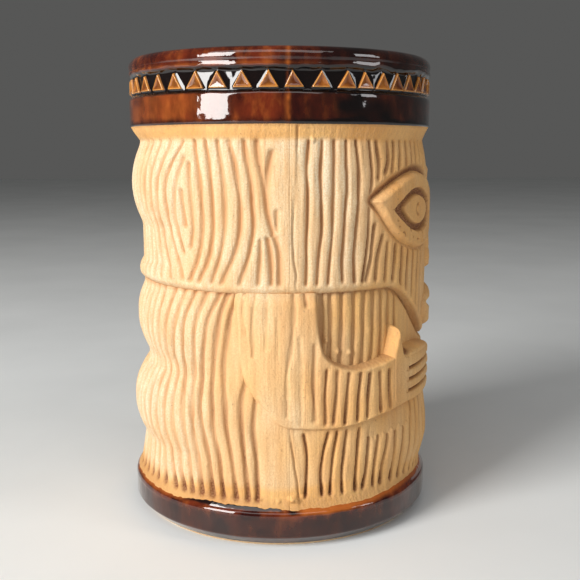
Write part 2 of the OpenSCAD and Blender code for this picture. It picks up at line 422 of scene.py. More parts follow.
def head_radius(phi, z):
    """The head's wall, with the tan flare that opens under the rim."""
    side = 42.1 + 0.5 * (1 - ((z - 89) / 20) ** 2)
    back = rolls(z, smooth_line(z, ((60, 41.0), (78, 40.7), (112, 40.9))), BACK_ROLLS[:2])
    front = smooth_line(z, ((50, 43.3), (70, 43.5), (97, 43.6), (103, 43.1), (109, 41.8), (115, 41.2)))
    b, f = back_weight(phi), front_weight(phi)
    radius = side * (1 - b - f) + back * b + front * f
    flare = np.clip((z - FLARE_Z) / (RIM_Z - FLARE_Z), 0, 1)
    lower_edge = np.clip((z - neck_line(phi)) / 1.8, 0, 1)
    radius = radius - 0.9 * (1 - lower_edge) ** 2
    return radius * (1 - flare) + (RIM_R - 0.25) * flare


def torso_radius(phi, z):
    """The torso's wall, with its hollow chest in front and the clay's lip over the foot."""
    side = smooth_line(z, ((0, 42.6), (16, 42.3), (24, 42.2), (62, 42.2), (67.5, 41.5), (75, 41.0)))
    back = rolls(z, smooth_line(z, ((0, 43.6), (11.6, 43.0), (21, 41.4), (45, 39.8), (60, 40.2), (80, 41.2))),
                 BACK_ROLLS[2:])
    front = smooth_line(z, ((0, 42.6), (14.6, 43.2), (18, 44.2), (22, 45.1), (26, 45.0), (31, 44.4),
                            (36, 43.6), (70, 43.2)))
    b, f = back_weight(phi), front_weight(phi)
    radius = side * (1 - b - f) + back * b + front * f
    under_arm = 80 + 22 * ramp(z, 46, 54)
    chest = between(fold(phi), 0, 30, under_arm, under_arm + 4) * ramp(z, 34, 40)
    radius = radius * (1 - chest) + 41.0 * chest
    foot_lip = np.clip((13.2 - z) / 3.2, 0, 1) ** 1.6
    return radius * (1 - foot_lip) + (FOOT_R - 0.75) * foot_lip


# %% [markdown]
# ## Cutting the grooves
#
# A groove is drawn as a stroke: a few places that it passes through, and a width and a depth. The
# stroke wavers a little and its width changes along it, as a line cut by hand does. Cuts are merged
# by keeping the deeper one.

# %% Strokes
# One degree in millimetres, along a wall of a middling radius.
DEGREE = math.radians(1) * 42.5


def stroke(phi, z, path, width, depth, seed, waver, core=0.6):
    """One upright cut. Its narrow core is one minus the distance over half the width, squared, and
    its shoulders fall away to nothing at 2.4 half widths, so that the ridges beside it are round."""
    heights, angles = np.array(path, float).T
    order = np.argsort(heights)
    heights, angles = heights[order], angles[order]
    middle = np.interp(z, heights, angles)
    if len(heights) > 2:
        reach = min(2.0, (heights[-1] - heights[0]) * 0.12)
        middle = sum(np.interp(z + k * reach, heights, angles) for k in (-1, 0, 1)) / 3
    middle = middle + waver * hills(z / 6.5 + 7.3 * seed, z * 0 + seed, 11)
    half = width / 2 * (1 + 0.28 * hills(z / 5.0 + 3.1 * seed, z * 0 + seed, 12))
    deep = depth * (1 + 0.22 * hills(z / 7.0 + 5.7 * seed, z * 0 + seed, 13))
    away = np.abs(phi - middle) * DEGREE / half
    ends = between(z, heights[0] - 0.7, heights[0] + 0.9, heights[-1] - 0.9, heights[-1] + 0.7)
    narrow, shoulder = np.clip(1 - away ** 2, 0, 1), np.clip(1 - away / 2.4, 0, 1) ** 1.3
    return deep * ends * (core * narrow + (1 - core) * shoulder)


def strokes(phi, z, paths, **settings):
    """The deepest of many cuts at every point."""
    cut = np.zeros(np.broadcast(phi, z).shape)
    for number, path in enumerate(paths):
        cut = np.maximum(cut, stroke(phi, z, path, seed=number + 1, **settings))
    return cut


# %% [markdown]
# The strokes below are the carver's plan, written as places on the wall: (height, angle). They are
# upright lines about five degrees apart. Behind the head they bow round a long eye-shaped whorl, and
# above the ear three of them meet in a V. Where lines only repeat, a loop makes them.

# %% Plan of the head's grooves
CROWN = FLARE_Z + 0.3
HEAD_SIDE = [
    [(71, 84), (78, 84), (90, 83.5), (100, 84), (CROWN, 83)],
    [(71, 80), (78, 79.5), (85, 78.5), (100, 79), (CROWN, 78.5)],
    [(71, 76), (85, 74.5), (97, 74), (CROWN, 74)],
    [(71.5, 70), (76, 71), (88, 70), (97, 69), (CROWN, 69.5)],
    [(71, 65.5), (79, 66), (90, 64.5), (98, 64), (CROWN, 65.5)],
    [(71, 62), (83, 60), (92, 60), (99, 58.5), (CROWN, 60)]]
OVER_EYE = [[(98, 56), (102, 55), (CROWN, 56.5)], [(99.5, 52.5), (103, 50.5), (CROWN, 51)],
            *[[(101 - abs(a - 34) * 0.1, a + 1.6), (105, a + 0.3), (CROWN, a)]
              for a in (47, 43, 38.5, 34.5, 30, 25.5, 21)]]
UNDER_EYE = [[(71, 60.5), (79, 58.5), (87, 57)], [(71, 56), (78, 55.5), (84, 53)],
             *[[(neck_line(a) + 0.8, a), (78.6 + abs(a - 30) * 0.15, a - 0.8)]
               for a in (51.5, 47, 42.5, 38.5, 34, 29.5, 25, 20.5)]]
WHORL = [
    [(71, 108), (77, 105), (82, 103), (87, 102), (93, 103), (99, 103.5), (CROWN, 106)],
    [(71, 115), (75.5, 111.5), (79.5, 109), (84, 107.5), (93, 107), (103, 109), (CROWN, 112)],
    [(71, 119), (78, 115), (84, 113), (91, 112.5), (98.5, 113), (CROWN, 116)],
    [(71, 124.5), (78, 119.5), (85, 117.5), (93, 117.5), (104, 119), (CROWN, 121)],
    [(71, 129), (79, 123.5), (87, 121.5), (96, 122), (CROWN, 125.5)],
    [(80, 128), (84, 126.5), (89, 126), (98, 127), (103, 127.5)],
    [(85.5, 130), (96, 130.5)],
    [(78.5, 130.5), (81, 132.5), (85, 134.5), (90, 135), (98, 133), (104.5, 129)],
    [(71.5, 131), (80, 136.5), (85, 139), (95, 139), (101, 137), (CROWN, 129.5)],
    [(71, 137.5), (79, 142.5), (84.5, 145), (94.5, 143.5), (100, 142.5), (CROWN, 137)],
    [(71, 144.5), (80, 148), (88, 149), (98, 147.5), (CROWN, 144.5)],
    *[[(71, a - 2.5 * b), (88, a + 1.5 * b), (CROWN, a - 2 * b)]
      for a, b in ((152.5, 1), (157, 0.7), (162, 0.4), (166.5, 0.2), (171, 0), (175.5, 0), (180, 0))]]
SEAM_V = [
    [(83.5, 95), (89.5, 97.5), (98.5, 99), (103.5, 100.5), (CROWN, 101.5)],
    [(93.5, 98), (99.5, 97.5), (106, 96)],
    [(71, 101), (79.5, 100), (83.5, 100)],
    [(71, 96), (78, 96.5), (81.5, 97), (84, 98)],
    [(71, 93.5), (79.5, 93.5), (82, 94), (84.5, 95.5)],
    [(85, 94.5), (91, 94.5)]]
print(len(HEAD_SIDE + OVER_EYE + UNDER_EYE + WHORL + SEAM_V), "strokes on each side of the head")

# %% Plan of the torso's grooves
LOW_END = 13.6
BACK_END = 12.4
BELLY = [
    [(LOW_END, 84), (21, 83.5), (27, 83.5), (31.5, 85)],
    [(LOW_END, 77.5), (20, 78.5), (27, 77), (31.5, 75)],
    [(LOW_END, 74.5), (18, 74.5), (25, 73.5), (31.5, 71.5)],
    [(LOW_END, 69.5), (19, 70), (26, 69), (31.5, 67.5)],
    [(LOW_END, 64), (19, 64), (25, 63.5), (31.5, 62.5)],
    [(LOW_END, 61), (17.5, 59.5), (23, 59), (32, 58)],
    [(LOW_END, 56), (21, 55.5), (27, 54), (33, 53)],
    [(LOW_END, 52), (20, 52), (26, 49.5), (34, 48)],
    *[[(LOW_END, a + 0.1 * a ** 0.9), (22, a + 0.08 * a ** 0.9), (35, a)] for a in np.arange(3, 45, 4.5)]]
BACK = [
    [(BACK_END, 101.5), (24, 102), (33, 103.5), (44, 102)],
    [(BACK_END, 105), (24, 106.5), (32, 107.5), (40, 108), (50, 104)],
    [(BACK_END, 109.5), (24, 111.5), (32, 113.5), (40, 114), (50, 114.5), (56.5, 113), (64, 111.5),
     (72, 107)],
    [(BACK_END, 114.5), (23, 116.5), (31, 118.5), (44, 119.5), (52, 118), (61, 116), (66, 114.5), (72, 110)],
    [(BACK_END, 119), (23, 121), (31, 123), (39, 124.5), (50, 123.5), (61.5, 120.5), (72, 114)],
    [(BACK_END, 123.5), (22, 126), (31, 127.5), (39, 128), (56, 127), (63, 125), (72, 119.5)],
    [(BACK_END, 128), (21, 130.5), (38, 132), (49, 133), (61, 131.5), (72, 124.5)],
    [(BACK_END, 131.5), (19, 135.5), (29, 136.5), (43, 137), (49, 138.5), (60, 136), (72, 130)],
    [(BACK_END, 136), (19.5, 140.5), (28, 141.5), (43, 141.5), (49, 143.5), (60, 141), (72, 136)],
    *[[(BACK_END, a - 3.5 * b), (20, a), (42, a + 0.5 * b), (49, a + 2 * b), (60, a), (72, a - 3 * b)]
      for a, b in ((146, 0.9), (151, 0.7), (155.5, 0.5), (160.5, 0.35), (165.5, 0.2), (170.5, 0.1),
                   (175, 0), (180, 0))]]
CHEST = [[(48, a + 0.6), (60, a - 0.2), (72, a)] for a in (78, 74.5, 70, 64.5, 60, 55.5, 51, 46.5, 42)]
print(len(BELLY + BACK + CHEST), "strokes on each side of the torso")

# %% [markdown]
# The eye is a raised frame with a pointed outer corner. Above and behind it the carver sank a smooth
# dark moat, so the strokes stop short of it. The frame's outline is needed here for the moat, and
# again later for the eye itself.

# %% Outline of the eye, and its moat


def on_wall(places, passes):
    """Turns (angle, height) corners into a rounded outline in millimetres on the unrolled wall."""
    return rounded(places, passes) * (DEGREE, 1)


EYE = on_wall(((58.5, 92.5), (57, 93.5), (50, 96.5), (42, 99), (33, 100.5), (22, 99), (14.5, 95), (11, 90),
               (13, 84), (20, 79.5), (30, 78.5), (40, 80), (47, 82.5), (53, 87), (57, 91.5)), 1)


def moat(phi, z):
    """A soft sunk band just outside the frame, deep above it and shallow below."""
    away = -depth_inside(phi * DEGREE, z, EYE)
    upper = ramp(z - 88 - (58 - phi) * 0.04, 0, 5)
    return (0.35 + 0.65 * upper) * fall(away, 0.4, 1.2 + 1.7 * upper)


# %% Depth of the cuts


def head_cut(phi, z):
    """All cuts in the head's wall."""
    side = fold(phi)
    front = strokes(side, z, HEAD_SIDE, width=1.1, depth=1.25, waver=0.2)
    for plan in (UNDER_EYE, OVER_EYE):
        front = np.maximum(front, strokes(side, z, plan, width=1.4, depth=1.05, waver=0.2))
    sunk = moat(side, z)
    front = np.maximum(front * fall(sunk, 0.1, 0.6), 1.3 * sunk)
    back = np.maximum(strokes(side, z, WHORL, width=1.55, depth=1.15, waver=0.15, core=0.5),
                      strokes(side, z, SEAM_V, width=1.8, depth=1.1, waver=0.15, core=0.5))
    cut = np.where(side < 90, front, back)
    return cut * fall(z, FLARE_Z - 0.8, FLARE_Z + 0.6) * ramp(z - neck_line(phi), 0.8, 2.8)


def torso_cut(phi, z):
    """All cuts in the torso's wall. Under the forearm a torn strip of clay covers the belly's strokes,
    and its lower edge is ragged."""
    side = fold(phi)
    belly = strokes(side, z, BELLY, width=1.15, depth=1.2, waver=0.2) * (1 + 0.5 * fall(z, 14.5, 18))
    ragged = 28.6 + 0.9 * hills(side / 1.1, z * 0, 92) - 0.08 * (side - 48)
    strip = ramp(z, ragged - 0.25, ragged + 0.25) * between(side, 35, 38, 57, 60) * (z < 36)
    belly = np.maximum(belly * (1 - 0.85 * strip), 0.32 * strip)
    front = np.maximum(belly, strokes(side, z, CHEST, width=1.5, depth=1.3, waver=0.2))
    back = strokes(side, z, BACK, width=1.75, depth=1.12, waver=0.2, core=0.5)
    return np.where(side < 90, front, back)


# %% [markdown]
# Where the two halves of the mould met, the rear half stands a little proud. The seam isn't straight:
# it wanders, because it was fettled by hand. It is a faint line that opens and darkens in three
# places: under the rim, from the neck to the ear, and above the foot.

# %% The seam
HEAD_SEAM = ((60, 87.5), (73, 87.5), (78, 88.5), (84, 89), (90, 89), (98, 88), (104, 87.5), (112, 87.5))
TORSO_SEAM = ((9, 86.5), (17, 87), (22, 88), (27, 89), (33, 90), (45, 90), (60, 88.5), (70, 88.5))
SEAM_STEP, SEAM_HALF_WIDTH, SEAM_DEPTH = 0.22, 0.42, 0.55


def seam(phi, z, line):
    """How far the rear half stands out, and how deep the open line beside it is."""
    past = (fold(phi) - smooth_line(z, line) - 0.25 * hills(z / 3.1, z * 0, 91)) * DEGREE
    dark = ramp(z, 104, 108) + 0.75 * between(z, 70, 74, 88, 94) + 0.8 * fall(z, 28, 33) + 0.08
    opening = np.clip(1 - (past / SEAM_HALF_WIDTH) ** 2, 0, 1) * np.clip(dark, 0, 1)
    opening = opening * between(z, 12, 14, RIM_Z - 1, RIM_Z)
    return SEAM_STEP * ramp(past, -0.3, 0.5), SEAM_DEPTH * opening


# %% [markdown]
# ## Marks and small accidents
#
# Cast clay isn't perfect. The surface waves by a tenth of a millimetre, and a few crumbs of clay stayed
# where a groove ended. The tone mark makes the front browner than the back, and turns the flare and the
# ledge over the foot to ochre.

# %% Waves, crumbs and tone
# Each crumb has an angle, a height and a size.
CRUMBS = ((76, 56.5, 1.1), (71, 53, 1.1), (66.5, 52.5, 0.95), (61, 53.5, 0.5), (57.5, 58, 0.4),
          (89.5, 13.5, 1.1), (87, 13, 0.9), (85, 14, 0.6), (82, 108.5, 0.9), (88.5, 13.5, 1.1),
          (94, 13, 0.8), (100.5, 13.5, 0.7), (105, 13, 0.5))


def waves(phi, z):
    """The hand's unevenness: broad waves and fine ripple, in millimetres."""
    ripple = 0.045 * hills(phi / 1.7, z / 2.3, 42) + 0.03 * hills(phi / 0.9, z / 9, 43)
    return 0.10 * hills(phi / 6, z / 7, 41) + ripple


def crumbs(phi, z):
    """Small beads of clay: round hills, each as wide as its size."""
    total = 0 * phi + 0 * z
    for angle, height, size in CRUMBS:
        away = np.hypot((fold(phi) - angle) * DEGREE, z - height) / size
        total = total + 0.62 * size * np.clip(1 - away ** 2, 0, 1)
    return total


def tone_of(phi, z):
    """0 is pale cream, 1 is ochre brown."""
    side = fold(phi)
    low = fall(z, NECK_Z - 3, NECK_Z + 3)
    front = fall(side, 48 + 8 * low, 74 + 22 * low)
    middle = (0.16 + 0.44 * low) * fall(side, 104, 132 + 14 * low)
    clouds = 0.14 * hills(phi / 11, z / 9, 51) + 0.1 * hills(phi / 3, z / 14, 52)
    ends = ramp(z, FLARE_Z - 1.2, FLARE_Z + 1.2) + fall(z, 12.5, 18)
    return np.clip(0.06 + 0.86 * front + middle * (1 - front) + clouds + 0.95 * ends, 0, 1)


# %% [markdown]
# ## Four pieces of wall
#
# The head and the torso are separate shells that meet at the neck crease, and each is in two halves
# that meet at the mould's seam. So every piece can be dense enough for its grooves and stay a light
# mesh, and every joint between them falls where the real mug shows a line.

# %% Head and torso walls
COLUMNS = 500
ROWS = 186
# The clay under the rim's glaze: up the band, into the channel, over the lip and down inside.
CORE = ((RIM_R - SEAT, RIM_Z + 0.4), (RIM_R - SEAT, 119.9), (CHANNEL_R - SEAT, 120.2),
        (CHANNEL_R - SEAT, 126.4), (RIM_R - SEAT, 126.9), (RIM_R - SEAT, 129.2),
        (RIM_R - LIP_R, 130.9), (LIP_INNER_R + SEAT, 129.2), (LIP_INNER_R + SEAT, RIM_Z + 4),
        (CORE_R, RIM_Z - 14))


def shell_rows(profile, columns):
    """Rows of constant radius and height, for the parts of a section that no one sees carved."""
    radii, heights = np.array(profile, float).T
    return np.repeat(radii[:, None], columns, 1), np.repeat(heights[:, None], columns, 1)


def clay_shell(name, node, phi, z, radius, cut, hidden, hidden_tone=0.0, neck_row=None):
    """A closed shell: the carved outside, and the hidden rows that lead back down the inside. If one
    of them is the neck_row, it follows the neck, so that the head and the torso meet face to face."""
    hidden_r, hidden_z = shell_rows(hidden, phi.shape[1])
    if neck_row is not None:
        hidden_z[neck_row] = neck_line(phi[0])
    r, every_z = np.vstack([radius, hidden_r]), np.vstack([z, hidden_z])
    marks = {"cut": np.vstack([np.clip(cut, 0, 1), 0 * hidden_r]),
             "tone": np.vstack([tone_of(phi, z), 0 * hidden_r + hidden_tone])}
    points = on_mug(np.repeat(phi[:1], len(r), 0), r, every_z)
    faces = loop_faces(*r.shape, full_turn=False)
    new_piece(name, points, faces, [node], CLAY, marks)


def wall_grid(first, last, low, high):
    """Angles and heights of a wall whose lower and upper edges may change with the angle."""
    phi = np.linspace(first, last, COLUMNS)[None, :]
    share = np.linspace(0, 1, ROWS)[:, None]
    return phi + 0 * share, low(phi) * (1 - share) + high(phi) * share


# Near the neck the torso stays under the head's radius. Lower down this allowance sets it free.
FREE = 20
for half, first, last in (("front", -90, 90), ("back", 90, 270)):
    phi, z = wall_grid(first, last, neck_line, lambda a: WALL_HIGH + 0 * a)
    proud, opening = seam(phi, z, HEAD_SEAM)
    proud = proud * fall(z, RIM_Z - 2, RIM_Z)
    cut = np.maximum(head_cut(phi, z), opening)
    relief = (waves(phi, z) + crumbs(phi, z)) * fall(z, RIM_Z - 1, RIM_Z)
    radius = head_radius(phi, z) + proud - cut + relief
    # Painted shade: the clay is darkened in the neck crease under the head and just under the rim's glaze.
    crease = 0.5 * fall(z - neck_line(phi), 0, 1.1)
    shade_under_rim = 0.42 * ramp(z, RIM_Z - 1.5, RIM_Z)
    inside = (*CORE, (CORE_R, NECK_Z))
    mark = 0.82 * cut + crease + shade_under_rim
    clay_shell(f"head_{half}", "clay_body", phi, z, radius, mark, inside, 0.3, neck_row=-1)

    phi, z = wall_grid(first, last, lambda a: WALL_LOW + 0 * a, neck_line)
    proud, opening = seam(phi, z, TORSO_SEAM)
    cut = np.maximum(torso_cut(phi, z), opening)
    under_chin = 1.3 * ramp(z - neck_line(phi), -2.2, 0) * front_weight(phi)
    radius = torso_radius(phi, z) + proud - cut + waves(phi, z) + crumbs(phi, z) - under_chin
    under_head = head_radius(phi, z + 1.5) + proud
    radius = np.minimum(radius, under_head + FREE * fall(z, NECK_Z - 5, NECK_Z))
    inside = ((CORE_R, NECK_Z), (CORE_R, WALL_LOW))
    # Painted shade: the clay is darkened at the top of the torso, along the neck crease.
    crease = 0.6 * ramp(z - neck_line(phi), -1.3, 0)
    ledge = 0.42 * fall(z, 11.8, 15.5)
    mark = (0.7 + 0.3 * fall(z, 15, 19)) * cut + crease + ledge
    clay_shell(f"torso_{half}", "clay_body", phi, z, radius, mark, inside, 0.3, neck_row=0)

# %% [markdown]
# ## The floor of the mug
#
# The clay's floor is a lathe form: one profile, turned about the axis. It starts in the middle of the
# hollow underside, goes out over the dry ring that the mug stands on, up behind the foot's glaze, and
# back down the rounded inside corner to the middle of the floor.

# %% Turned forms


def arc(centre, radius, start, end, count=12):
    """Points on part of a circle, from one angle in degrees to another."""
    a = np.radians(np.linspace(start, end, count))
    return [(centre[0] + radius * c, centre[1] + radius * s) for c, s in zip(np.cos(a), np.sin(a))]


def along(profile, count):
    """Points spread evenly along a profile by its length."""
    points = np.array(profile, float)
    length = np.r_[0, np.cumsum(np.hypot(*np.diff(points, axis=0).T))]
    return np.stack([np.interp(np.linspace(0, length[-1], count), length, column) for column in points.T], 1)


def lathe(name, profile, slot, nodes, material, **marks):
    """Turns a profile that starts and ends on the axis. Each end is one point with a fan of faces."""
    profile = np.array(profile, float)
    columns = 360
    rows = len(profile) - 2
    r, z = shell_rows(profile[1:-1], columns)
    points = on_mug(full_circle(columns) + 0 * r, r, z).reshape(-1, 3)
    points = np.vstack([points, on_mug(0.0, 0.0, profile[0, 1]), on_mug(0.0, 0.0, profile[-1, 1])])
    j = np.arange(columns)
    across = (j + 1) % columns
    i = np.arange(rows - 1)[:, None] * columns
    squares = np.stack([i + j, i + columns + j, i + columns + across, i + across], -1).reshape(-1, 4)
    top = (rows - 1) * columns
    low_fan = np.stack([0 * j + rows * columns, j, across], -1)
    high_fan = np.stack([top + j, 0 * j + rows * columns + 1, top + across], -1)
    faces = squares.tolist() + low_fan.tolist() + high_fan.tolist()
    marks = {mark: np.full(len(points), value) for mark, value in marks.items()}
    new_piece(name, points, faces, nodes, material, marks)


# The rounded corner of the drink space, the floor, the dry ring and the hollow inside it.
CORNER_R = 9.0
DRINK_Z = LINER_LOW[2] + GLAZE
STAND_R = FOOT_R - 3.0
UNDER_Z = 1.5
CORNER = (DRINK_R - CORNER_R, DRINK_Z + CORNER_R)
lathe("clay_base", [
    (0, UNDER_Z), (STAND_R - 6, UNDER_Z), *arc((STAND_R - 5.5, UNDER_Z - 0.5), 0.5, 90, 0, 5),
    *arc((STAND_R - 4.7, 0.3), 0.3, 180, 270, 5), *arc((STAND_R - 0.8, 0.3), 0.3, 270, 360, 5),
    (STAND_R - 0.5, 0.75), (FOOT_R - 0.6, 3.5), (FOOT_R - 0.6, WALL_LOW - 0.01),
    (DRINK_R + 0.58, WALL_LOW - 0.01), *arc(CORNER, CORNER_R + SEAT, 0, -90), (0, DRINK_Z - SEAT)],
    "bisque_clay", ["clay_body"], CLAY, cut=0.1, tone=0.25)

# %% [markdown]
# ## Brown glaze
#
# The glaze is thick, dark and very glossy. Where it pools it is nearly black, and where it runs thin
# over an edge it turns red-brown and then amber. The pieces carry two marks for that, pool and thin.
# Upright streaks and clouds in the shader stand for the way that it ran before it set.

# %% The three glazes


def glaze(name, deep, middle, bright, pooled, roughness):
    """A glossy coat: clouds of two dark colours, bright where thin, nearly black where pooled."""
    material, tree, shader = new_material(name)
    pool, thin = mark_of(tree, "pool"), mark_of(tree, "thin")
    clouds = span(tree, noise(tree, 170, 5, (1, 1, 0.7)), 0.38, 0.66)
    runs = span(tree, noise(tree, 420, 4, (1, 1, 0.4)), 0.45, 0.72)
    colour = blend(tree, clouds, deep, middle)
    bare = maths(tree, 1.0, pool, "SUBTRACT")
    colour = blend(tree, maths(tree, maths(tree, runs, clouds), 0.45), colour, bright)
    colour = blend(tree, maths(tree, thin, bare), colour, bright)
    colour = blend(tree, pool, colour, pooled)
    linked(tree, colour, shader.inputs["Base Color"])
    set_inputs(shader, Roughness=roughness, Specular_IOR_Level=0.05)
    set_inputs(shader, Coat_Weight=1.0, Coat_IOR=1.58, Coat_Roughness=0.03)
    bumps(tree, shader, [(noise(tree, 170, 2, (1, 1, 0.6)), 0.45, 0.45), (noise(tree, 900, 2), 0.1, 0.1)])
    return material


BROWN = glaze("brown_glaze", (0.030, 0.003, 0.0015), (0.125, 0.018, 0.005), (0.40, 0.105, 0.018),
              (0.004, 0.002, 0.002), 0.12)
AMBER = glaze("amber_glaze", (0.12, 0.024, 0.004), (0.42, 0.13, 0.018), (0.64, 0.28, 0.055),
              (0.03, 0.007, 0.003), 0.14)
LINER = glaze("liner_glaze", (0.050, 0.014, 0.007), (0.120, 0.034, 0.014), (0.26, 0.09, 0.025),
              (0.012, 0.005, 0.004), 0.12)

outside = [(0, DRINK_Z - GLAZE), *arc(CORNER, CORNER_R + GLAZE, -90, 0, 16),
           (DRINK_R + GLAZE, RIM_Z - 14), (LIP_INNER_R + GLAZE, RIM_Z + 4), (LIP_INNER_R + GLAZE, LINER_TOP)]
inside = [(LIP_INNER_R, LINER_TOP), (LIP_INNER_R, RIM_Z + 4),
          *along(((DRINK_R, RIM_Z - 14), (DRINK_R, 16)), 20), *arc(CORNER, CORNER_R, 0, -90, 16),
          (14, DRINK_Z), (0, DRINK_Z)]
lathe("glazed_inside", outside + inside, "liner_glaze", ["liner_glaze"], LINER, pool=0.2, thin=0.0)

# %% [markdown]
# ## The row of triangles
#
# Small raised triangles stand in a sunk channel round the rim. Their tops wear the thin amber side of
# the same glaze, lighter along their edges and darker in their dished middles. They are close in
# front and wider behind, because the two halves of the mould were carved apart.

# %% Angles and places of the triangles


def spaced(start, end, count):
    """Middles of equal steps between two angles."""
    return start + (np.arange(count) + 0.5) * (end - start) / count


one_side = np.r_[spaced(0, 74, 10), 79.5, 88.5, spaced(92.6, 180, 10)]
TRIANGLES = np.sort(np.r_[one_side, -one_side])
TRI_HALF = 2.45
print(len(TRIANGLES), "triangles, each", round(TRI_HIGH - TRI_LOW, 2), "mm high")


def from_triangle(phi, z):
    """Distance outside the nearest triangle: the larger of its distances past the base and the sides."""
    turned = (phi[..., None] - TRIANGLES + 180) % 360 - 180
    across = np.min(np.abs(turned), -1) * math.radians(1) * CHANNEL_R
    slope = TRI_HALF / (TRI_HIGH - TRI_LOW)
    beside = (across - (TRI_HIGH - z) * slope) / math.hypot(1, slope)
    return np.maximum(beside, TRI_LOW - z)


def row_of_triangles():
    """Each triangle is rings of one rounded outline, smaller and higher toward its dished middle. A
    ring has its share of the outline, its height over the channel and how thin its glaze is."""
    tall, soft = TRI_HIGH - TRI_LOW, 0.5
    outline = rounded(mirrored([(TRI_HALF - soft, 0), (TRI_HALF, 0), (TRI_HALF - soft, tall * 0.2),
                                (0.12 + soft / 2, tall * 0.85), (0.1, tall)]), 1)
    middle = np.array((0, tall * 0.34))
    rings = ((1.08, -0.55, 0.0), (1.08, 0.2, 0.1), (1.02, 0.74, 0.5), (0.95, 0.93, 1.0),
             (0.86, 0.93, 0.35), (0.68, 0.84, 0.0), (0.32, 0.72, 0.0))
    count = len(outline)
    random = np.random.default_rng(7)
    points, faces, thin, pool = [], [], [], []
    for angle in TRIANGLES:
        start = sum(len(p) for p in points)
        swell, lean, wet = random.uniform(0.94, 1.05), random.uniform(-0.12, 0.12), random.uniform(0.1, 0.9)
        for size, height, bright in rings:
            flat = middle + (outline - middle) * size * swell
            x, z = flat.T
            r = np.full(count, CHANNEL_R + height)
            points.append(on_mug(angle + np.degrees((x + lean * z) / CHANNEL_R), r, TRI_LOW + z))
            thin.append(np.full(count, bright))
            pool.append(np.full(count, wet * max(0, 1.1 - 1.3 * size)))
        points.append(on_mug(np.array([angle]), np.array([CHANNEL_R + 0.63]), TRI_LOW + middle[1:]))
        thin.append(np.zeros(1))
        pool.append(np.full(1, wet * 0.7))
        j = np.arange(count)
        across = (j + 1) % count
        for k in range(len(rings) - 1):
            a, b = start + k * count, start + (k + 1) * count
            faces += np.stack([a + across, a + j, b + j, b + across], -1).tolist()
        last, tip = start + (len(rings) - 1) * count, start + len(rings) * count
        faces += np.stack([last + across, last + j, 0 * j + tip], -1).tolist()
        faces.append((start + j).tolist())
    new_piece("amber_triangles", np.vstack(points), faces, ["rim_triangles"], AMBER,
              {"thin": np.concatenate(thin), "pool": np.concatenate(pool)})


row_of_triangles()

# %% [markdown]
# ## The glazed rim
#
# The rim's profile runs up the band, into the channel, over the ridge above it, round the lip and down
# inside. It is turned about the axis, and then the wet glaze is added: it climbs against each triangle
# as water climbs a glass, and the channel's upper edge waves where it sagged.

# %% The rim's surface
LIP_MIDDLE = (RIM_R - LIP_R, TOP_Z - LIP_R)
# (distance inside the edge, height): the band's foot, the channel's lower edge and its upper one.
band = [*[(RIM_R - inset, RIM_Z + up) for inset, up in (
            (0.7, -0.15), (0.25, -0.2), (0.04, 0.2), (0, 0.9), (0, 3.5))],
        *[(RIM_R - inset, CHANNEL_LOW + up) for inset, up in (
            (0.04, -0.9), (0.22, -0.3), (0.65, 0), (1.15, 0.3), (1.2, 0.7))],
        *[(RIM_R - inset, CHANNEL_HIGH + up) for inset, up in (
            (1.2, -0.9), (1.1, -0.4), (0.6, -0.1), (0.16, 0.35), (0.02, 0.85), (0.2, 1.6))],
        (RIM_R - 0.05, TOP_Z - 2.9), *arc(LIP_MIDDLE, LIP_R, 0, 90, 14)]
bore = [*arc(LIP_MIDDLE, LIP_R, 96, 180, 12), (LIP_INNER_R, LINER_TOP + 5), (LIP_INNER_R, LINER_TOP)]
# The hidden side follows the clay under it, 0.05 mm away on both sides of the lip's middle.
MIDDLE_R, GAP = 41.6, 0.05
behind = [(LIP_INNER_R + GLAZE, LINER_TOP),
          *[(r + GAP * np.sign(MIDDLE_R - r), z) for r, z in CORE[::-1][2:]]]
BAND_ROWS, BORE_ROWS = 74, 18


